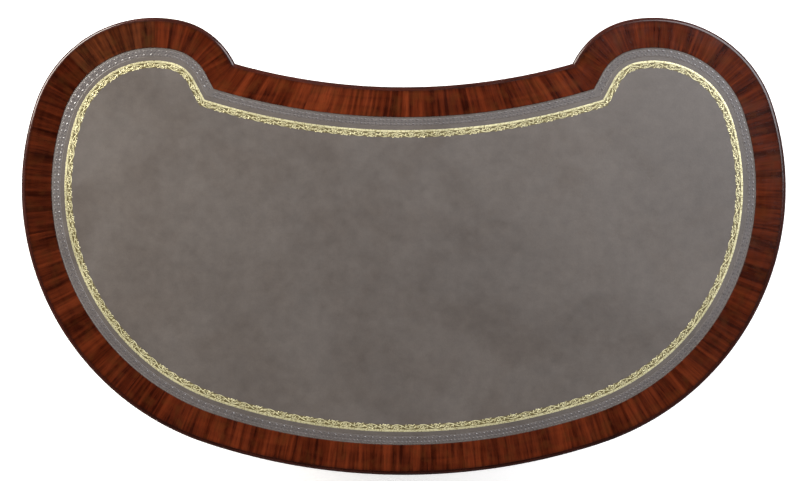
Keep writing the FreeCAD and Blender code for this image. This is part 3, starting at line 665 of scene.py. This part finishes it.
def leather_sheet():
    """Rings with the pressed lines near the edge, closed by one flat face above and one below."""
    build = bmesh.new()
    grid = [[build.verts.new((p.x, p.y, z)) for p in outline(inset)] for inset, z in leather_profile]
    count = len(grid[0])
    for lower, upper in zip(grid, grid[1:]):
        for k in range(count):
            build.faces.new([lower[k], lower[(k + 1) % count], upper[(k + 1) % count], upper[k]])
    build.faces.new(grid[-1])
    build.faces.new(reversed(grid[0]))
    mesh = mesh_from(build, "leather")
    mesh.materials.append(leather_skin("grey_leather", skin_light, skin_dark, 0.42))
    return add_object("leather", mesh)


leather = leather_sheet()
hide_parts("leather_skiver")
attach(leather, "carcase")


# Blind tooling: a band of small leaves in two rows beside the wood, between two pressed lines.
# Rolled into the damp leather with a heated brass wheel and no gold, so the leaves only shine a little
# more than the hide, with a little painted highlight in their lighter colour. The dark marks between
# them are painted shade, standing in for the pressed hollows.

def ribbon(build, line, widths, crowns):
    """A low closed ribbon on z = 0 along a line of points, with a ridge of the given heights in its middle."""
    rows = []
    for k, point in enumerate(line):
        ahead = line[min(k + 1, len(line) - 1)] - line[max(k - 1, 0)]
        square = Vector((-ahead.y, ahead.x)).normalized() * widths[k] / 2
        left, right = point + square, point - square
        rows.append([build.verts.new((left.x, left.y, 0)), build.verts.new((point.x, point.y, crowns[k])),
                     build.verts.new((right.x, right.y, 0))])
    for first, second in zip(rows, rows[1:]):
        for a, b in ((0, 1), (1, 2), (2, 0)):
            build.faces.new([first[a], first[b], second[b], second[a]])
    build.faces.new(rows[0])
    build.faces.new(rows[-1])


leaf_rows, leaf_swell = (0, 0.3, 0.65, 1), (0.25, 1, 0.8, 0.08)
pressed_rows, pressed_swell = (0, 0.36, 0.64, 1), (0.2, 1, 1, 0.2)


def leaf(build, base, angle, length, width, crown):
    """A pointed leaf from its base, in the direction of angle."""
    line = [polar(base, length * share, angle) for share in leaf_rows]
    ribbon(build, line, [width * share for share in leaf_swell], [crown] * len(line))


def pressed_leaf(build, base, length, width, slope):
    """A leaf along the roll's path, both its sides at one slope from end to end."""
    line = [base + Vector((length * share, 0)) for share in pressed_rows]
    widths = [width * share for share in pressed_swell]
    ribbon(build, line, widths, [each / 2 * math.tan(slope) for each in widths])


def motif(name, draw):
    """A small shape that a roll tool repeats, drawn by a function of a bmesh."""
    build = bmesh.new()
    draw(build)
    return bpy.data.objects.new(name, mesh_from(build, name))


def path_mesh(name, inset, z):
    """The outline drawn in by inset, as two open lines that end at the notches."""
    mesh = bpy.data.meshes.new(name)
    points, edges = [], []
    for run in (round_run(inset) + hollow_run(inset)[:1], hollow_run(inset) + round_run(inset)[:1]):
        first = len(points)
        points += [(p.x, p.y, z) for p in run]
        edges += [(k, k + 1) for k in range(first, len(points) - 1)]
    mesh.from_pydata(points, edges, [])
    return add_object(name, mesh)


def geometry_tree(name, sizes):
    """An empty geometry tree with a path, named sizes, a motif and a finish, and the two ends inside it."""
    tree = bpy.data.node_groups.new(name, "GeometryNodeTree")
    sockets = {"Path": "Geometry"} | {size: "Float" for size in sizes}
    sockets |= {"Motif": "Object", "Finish": "Material"}
    for label, kind in sockets.items():
        tree.interface.new_socket(label, in_out="INPUT", socket_type="NodeSocket" + kind)
    tree.interface.new_socket("Mesh", in_out="OUTPUT", socket_type="NodeSocketGeometry")
    return tree, tree.nodes.new("NodeGroupInput").outputs, tree.nodes.new("NodeGroupOutput").inputs


def grown(path, tree, values):
    """Runs the tree on a path, keeps the result as the object's plain mesh, and removes the modifier."""
    modifier = path.modifiers.new(tree.name, "NODES")
    modifier.node_group = tree
    for item in tree.interface.items_tree:
        if item.in_out == "INPUT" and item.name in values:
            modifier[item.identifier] = values[item.name]
    evaluated = path.evaluated_get(bpy.context.evaluated_depsgraph_get())
    mesh = bpy.data.meshes.new_from_object(evaluated)
    path.modifiers.remove(modifier)
    path.data = mesh
    return path


def on_path(tree, points, motif_object, chosen, turn):
    """The motif set on the chosen points, with its X along the path and then turned about Z."""
    tangent = place(tree, "GeometryNodeInputTangent").outputs[0]
    facing = place(tree, "FunctionNodeAlignRotationToVector", {"Vector": tangent}, axis="X", pivot_axis="Z")
    spin = place(tree, "ShaderNodeCombineXYZ", {"Z": turn}).outputs[0]
    spin = place(tree, "FunctionNodeEulerToRotation", {0: spin}).outputs[0]
    inputs = {0: facing.outputs[0], 1: spin}
    facing = place(tree, "FunctionNodeRotateRotation", inputs, rotation_space="LOCAL")
    shape = place(tree, "GeometryNodeObjectInfo", {"Object": motif_object}).outputs["Geometry"]
    inputs = {"Points": points, "Selection": chosen, "Instance": shape, "Rotation": facing.outputs[0]}
    return place(tree, "GeometryNodeInstanceOnPoints", inputs).outputs[0]


def finished(tree, geometry, finish, result):
    plain = place(tree, "GeometryNodeRealizeInstances", {0: geometry}).outputs[0]
    coated = place(tree, "GeometryNodeSetMaterial", {"Geometry": plain, "Material": finish}).outputs[0]
    tree.links.new(coated, result["Mesh"])


def pressed_roll_tree():
    """One motif after another along the path, a set spacing apart."""
    tree, given, result = geometry_tree("pressed_roll", ["Spacing"])
    line = place(tree, "GeometryNodeMeshToCurve", {0: given["Path"]}).outputs[0]
    inputs = {"Curve": line, "Length": given["Spacing"]}
    line = place(tree, "GeometryNodeResampleCurve", inputs, mode="LENGTH").outputs[0]
    ends = place(tree, "GeometryNodeCurveEndpointSelection").outputs[0]
    between = place(tree, "FunctionNodeBooleanMath", {0: ends}, operation="NOT").outputs[0]
    finished(tree, on_path(tree, line, given["Motif"], between, 0.0), given["Finish"], result)
    return tree


blind_inset = 0.0648
blind_spacing = 0.0133
low_slope, steep_slope = math.radians(13), math.radians(19)
blind_leaves = [((-0.0062, -0.0050), 0.0058, 0.0038, low_slope),
                ((0.0018, -0.0046), 0.0034, 0.0024, steep_slope),
                ((0.0004, 0.0020), 0.0056, 0.0032, steep_slope),
                ((-0.0050, 0.0024), 0.0034, 0.0026, low_slope)]


def draw_blind_roll(build):
    for base, length, width, slope in blind_leaves:
        pressed_leaf(build, Vector(base), length, width, slope)


def laid_profile(outer, inner, height):
    """The section of a thin layer on the leather, from one inset to another, with sloped edges."""
    return [(outer, leather_top), (outer + height, leather_top + height),
            (inner - height, leather_top + height), (inner, leather_top)]


rolled_start, rolled_end, rolled_height = 0.0572, 0.0696, 0.00003
rolled_leather = leather_skin("rolled_leather", shade(108, 100, 97), shade(90, 83, 80), 0.48)
rolled_band = outline_ring("rolled_band", laid_profile(rolled_start, rolled_end, rolled_height), rolled_leather)
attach(rolled_band, "carcase")

# The burnished leaves are a little lighter than the rolled band, partly as painted highlight, besides their
# real gloss.
burnish_and_highlight = leather_skin("burnish_highlight_leather", shade(117, 110, 110), shade(98, 92, 92), 0.2,
                         pebble_depth=0.00005)
blind_roll = motif("blind_roll", draw_blind_roll)
blind_tooling = grown(path_mesh("blind_tooling", blind_inset, leather_top), pressed_roll_tree(),
                      {"Spacing": blind_spacing, "Motif": blind_roll, "Finish": burnish_and_highlight})
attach(blind_tooling, "carcase")

mark_spacing, mark_inset, mark_height = blind_spacing / 2, 0.0636, 0.0001
mark_length, mark_width = 0.0042, 0.0017


def draw_shade_mark(build):
    leaf(build, Vector((-mark_length / 2, 0)), 0, mark_length, mark_width, mark_height)


# Painted shade: dark marks laid between the tooled leaves, where the pressed hollows would fall in shade.
painted_shade = leather_skin("painted_shade_leather", shade(78, 75, 80), shade(64, 61, 65), 0.4)
press_mark = motif("press_mark", draw_shade_mark)
press_marks = grown(path_mesh("press_marks", mark_inset, leather_top + rolled_height), pressed_roll_tree(),
                    {"Spacing": mark_spacing, "Motif": press_mark, "Finish": painted_shade})
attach(press_marks, "carcase")


# Gilt tooling: a gold line with a narrow fillet and a running vine scroll beside it, round the whole top.
# Gold leaf rolled on over glair with a hot brass wheel, bright, a little broken and rubbed thin in places.

def gold_leaf():
    """Gold leaf with small breaks in it, where it is duller and less of a metal."""
    made, tree, shader = new_material("gold_leaf")
    position = along_grain(tree, "X")
    polish = fill_group(tree, worn_polish, {"Position": position, "Gloss": 0.36, "Wear": 0.2})
    break_scale, break_ends, break_share, break_depth = 420.0, (0.5, 0.64), 0.85, 0.00006
    bright_gold, worn_gold = (0.655, 0.61, 0.372, 1.0), shade(138, 122, 62)
    whole_metal, broken_metal = 0.57, 0.37
    breaks = spread(tree, noise(tree, position, break_scale, detail=3.0), *break_ends)
    colour = tinted(tree, worked(tree, "MULTIPLY", breaks, break_share), bright_gold, worn_gold)
    connect(tree, shader, {"Base Color": colour, "Roughness": polish["Roughness"],
                           "Metallic": spread(tree, breaks, 0.0, 1.0, whole_metal, broken_metal),
                           "Normal": bumped(tree, breaks, break_depth)})
    return made


foil = gold_leaf()
foil_height = 0.00022
line_inset, line_width, fillet_width = 0.0778, 0.0026, 0.0012
line_end, fillet_end = line_inset + line_width, line_inset + line_width + fillet_width
line_profile = [(line_inset, leather_top),
                (line_inset + line_width / 2, leather_top + foil_height),
                (line_end, leather_top + foil_height / 3),
                (line_end + fillet_width / 2, leather_top + foil_height),
                (fillet_end, leather_top)]
gilt_line = outline_ring("gilt_line", line_profile, foil)
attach(gilt_line, "carcase")

glair_end, glair_height = 0.0905, 0.00005
glaired_leather = leather_skin("glaired_leather", shade(126, 114, 68), shade(92, 80, 46), 0.36)
glair = outline_ring("glair", laid_profile(fillet_end, glair_end, glair_height), glaired_leather)
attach(glair, "carcase")


def gilt_vine_tree():
    """A stem that swings from side to side of the path, and a spray of curl and leaves in each hollow."""
    tree, given, result = geometry_tree("gilt_vine", ["Half wave", "Swing", "Stem width", "Stem height"])
    path = place(tree, "GeometryNodeMeshToCurve", {0: given["Path"]}).outputs[0]
    length = place(tree, "GeometryNodeSplineLength").outputs["Length"]
    halves = worked(tree, "FLOOR", worked(tree, "DIVIDE", length, given["Half wave"]))
    steps_per_half, rows_per_half = 16.0, 2.0
    inputs = {"Curve": path, "Count": worked(tree, "MULTIPLY_ADD", halves, steps_per_half, 1.0)}
    fine = place(tree, "GeometryNodeResampleCurve", inputs, mode="COUNT").outputs[0]
    place_on = place(tree, "GeometryNodeSplineParameter").outputs
    phase = worked(tree, "MULTIPLY", worked(tree, "MULTIPLY", halves, math.pi), place_on["Factor"])
    swing = worked(tree, "MULTIPLY", worked(tree, "SINE", phase), given["Swing"])
    tangent = place(tree, "GeometryNodeInputTangent").outputs[0]
    inputs = {0: tangent, 1: (0, 0, 1)}
    aside = place(tree, "ShaderNodeVectorMath", inputs, operation="CROSS_PRODUCT").outputs[0]
    shift = place(tree, "ShaderNodeVectorMath", {0: aside, "Scale": swing}, operation="SCALE").outputs[0]
    stem = place(tree, "GeometryNodeSetPosition", {"Geometry": fine, "Offset": shift}).outputs[0]
    stem = place(tree, "GeometryNodeSetCurveNormal", {"Curve": stem}, mode="Z_UP").outputs[0]
    section = place(tree, "GeometryNodeCurvePrimitiveCircle", {"Resolution": 6, "Radius": 0.5}).outputs[0]
    inputs = {"X": given["Stem width"], "Y": given["Stem height"], "Z": 1.0}
    size = place(tree, "ShaderNodeCombineXYZ", inputs).outputs[0]
    section = place(tree, "GeometryNodeTransform", {"Geometry": section, "Scale": size}).outputs[0]
    inputs = {"Curve": stem, "Profile Curve": section, "Fill Caps": True}
    stem = place(tree, "GeometryNodeCurveToMesh", inputs).outputs[0]
    inputs = {"Curve": path, "Count": worked(tree, "MULTIPLY_ADD", halves, rows_per_half, 1.0)}
    rows = place(tree, "GeometryNodeResampleCurve", inputs, mode="COUNT").outputs[0]
    index = place(tree, "GeometryNodeSplineParameter").outputs["Index"]
    crest = worked(tree, "COMPARE", worked(tree, "MODULO", index, 2.0), 1.0, 0.1)
    inward = worked(tree, "COMPARE", worked(tree, "MODULO", index, 4.0), 3.0, 0.1)
    sprays = on_path(tree, rows, given["Motif"], crest, worked(tree, "MULTIPLY", inward, math.pi))
    joined = place(tree, "GeometryNodeJoinGeometry")
    for geometry in (stem, sprays):
        tree.links.new(geometry, joined.inputs[0])
    finished(tree, joined.outputs[0], given["Finish"], result)
    return tree


vine_inset = 0.0866
half_wave = 0.023
vine_swing, stem_width = 0.0035, 0.0019
curl_middle, curl_long, curl_wide = Vector((0.0010, 0.0006)), 0.0052, 0.0034
curl_end_share = 0.3
curl_start, curl_turn = math.radians(160), math.radians(-440)
curl_steps, curl_width = 12, 0.0017
curl_lead = [(-0.0095, -0.0009), (-0.0068, 0.0007)]
berry_width, berry_rows, berry_swell = 0.0024, (-0.5, -0.2, 0.2, 0.5), (0.35, 1, 1, 0.35)
spray_leaves = [((-0.0088, 0.0004), 62, 0.0046, 0.0022), ((-0.0036, 0.0030), 38, 0.0030, 0.0018),
                ((0.0048, 0.0026), 28, 0.0046, 0.0022), ((0.0066, -0.0004), 30, 0.0050, 0.0022)]


def draw_spray(build):
    line = [Vector(point) for point in curl_lead]
    for k in range(curl_steps + 1):
        reach = 1 - (1 - curl_end_share) * k / curl_steps
        angle = curl_start + curl_turn * k / curl_steps
        line.append(curl_middle + reach * Vector((curl_long * math.cos(angle), curl_wide * math.sin(angle))))
    ribbon(build, line, [curl_width] * len(line), [foil_height] * len(line))
    berry = [line[-1] + Vector((berry_width * share, 0)) for share in berry_rows]
    ribbon(build, berry, [berry_width * share for share in berry_swell], [foil_height] * len(berry))
    for base, degrees, length, width in spray_leaves:
        leaf(build, Vector(base), math.radians(degrees), length, width, foil_height)


gilt_spray = motif("gilt_spray", draw_spray)
gilt_vine = grown(path_mesh("gilt_vine", vine_inset, leather_top), gilt_vine_tree(),
                  {"Half wave": half_wave, "Swing": vine_swing, "Stem width": stem_width,
                   "Stem height": 2 * foil_height, "Motif": gilt_spray, "Finish": foil})
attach(gilt_vine, "carcase")


# Studio: a pale floor, two soft lamps on the sitter's side, a weak one behind, and a camera over the top.
# The picture's upper edge is the sitter's side, so the camera is turned half round. The floor and sky are
# dimmer in reflections than to the eye, and the far lamp isn't in them, so that the polish stays dark.

floor_half = 9.0
floor_white, floor_mirrored, floor_glow = (0.9, 0.9, 0.9, 1.0), (0.15, 0.15, 0.15, 1.0), 0.5
floor_corners = [(x * floor_half, y * floor_half, 0) for x, y in ((-1, -1), (1, -1), (1, 1), (-1, 1))]
floor_mesh = bpy.data.meshes.new("floor")
floor_mesh.from_pydata(floor_corners, [], [(0, 1, 2, 3)])
floor_paint, floor_tree, floor_shader = new_material("pale_floor")
ray = place(floor_tree, "ShaderNodeLightPath").outputs
floor_colour = tinted(floor_tree, ray["Is Glossy Ray"], floor_white, floor_mirrored)
glow = worked(floor_tree, "MULTIPLY", ray["Is Camera Ray"], floor_glow)
connect(floor_tree, floor_shader, {"Base Color": floor_colour, "Roughness": 0.9,
                                   "Emission Color": (1.0, 1.0, 1.0, 1.0), "Emission Strength": glow})
floor_mesh.materials.append(floor_paint)
floor = add_object("floor", floor_mesh)

low_sky, high_sky = 0.3, 0.75
low_light, high_light, mirrored_share = 0.9, 0.03, 0.35
world = bpy.data.worlds.new("studio")
world.use_nodes = True
bpy.context.scene.world = world
sky = world.node_tree
sky_way = place(sky, "ShaderNodeTexCoord").outputs["Generated"]
sky_height = place(sky, "ShaderNodeSeparateXYZ", {0: sky_way}).outputs["Z"]
sky_light = spread(sky, sky_height, low_sky, high_sky, low_light, high_light)
mirrored = place(sky, "ShaderNodeLightPath").outputs["Is Glossy Ray"]
sky_light = worked(sky, "MULTIPLY", sky_light, spread(sky, mirrored, 0.0, 1.0, 1.0, mirrored_share))
connect(sky, sky.nodes["Background"], {"Color": (1.0, 1.0, 1.0, 1.0), "Strength": sky_light})


warm_white, cool_white = (1.0, 0.95, 0.87), (0.93, 0.95, 1.0)
top_middle = Vector((0.0, 0.0, band_top))


def lamp(name, location, width, height, power, colour):
    """A soft rectangular lamp that faces the middle of the top."""
    light = bpy.data.lights.new(name, "AREA")
    light.shape = "RECTANGLE"
    light.size, light.size_y = width, height
    light.energy = power
    light.color = colour
    made = add_object(name, light)
    made.location = location
    made.rotation_euler = (top_middle - Vector(location)).to_track_quat("-Z", "Y").to_euler()
    made.visible_camera = False
    return made


lamp("left_lamp", (2.1, -1.6, 2.2), width=2.0, height=0.9, power=152.0, colour=warm_white)
lamp("right_lamp", (-2.35, -1.85, 3.85), width=2.8, height=2.8, power=208.0, colour=cool_white)
far_lamp = lamp("far_lamp", (0.3, 2.8, 2.4), width=2.0, height=2.0, power=22.0, colour=warm_white)
far_lamp.visible_glossy = False

view_width = 1.4340
camera_height = 3.4
camera_shift = (0.0067, -0.0103)
edge_distance = camera_height + band_top - band_z + moulding_drop
camera_data = bpy.data.cameras.new("camera")
camera_data.lens = camera_data.sensor_width * edge_distance / view_width
camera = add_object("camera", camera_data)
camera.location = (*camera_shift, band_top + camera_height)
camera.rotation_euler = (0, 0, math.pi)
bpy.context.scene.camera = camera
bpy.context.scene.view_settings.view_transform = "Standard"
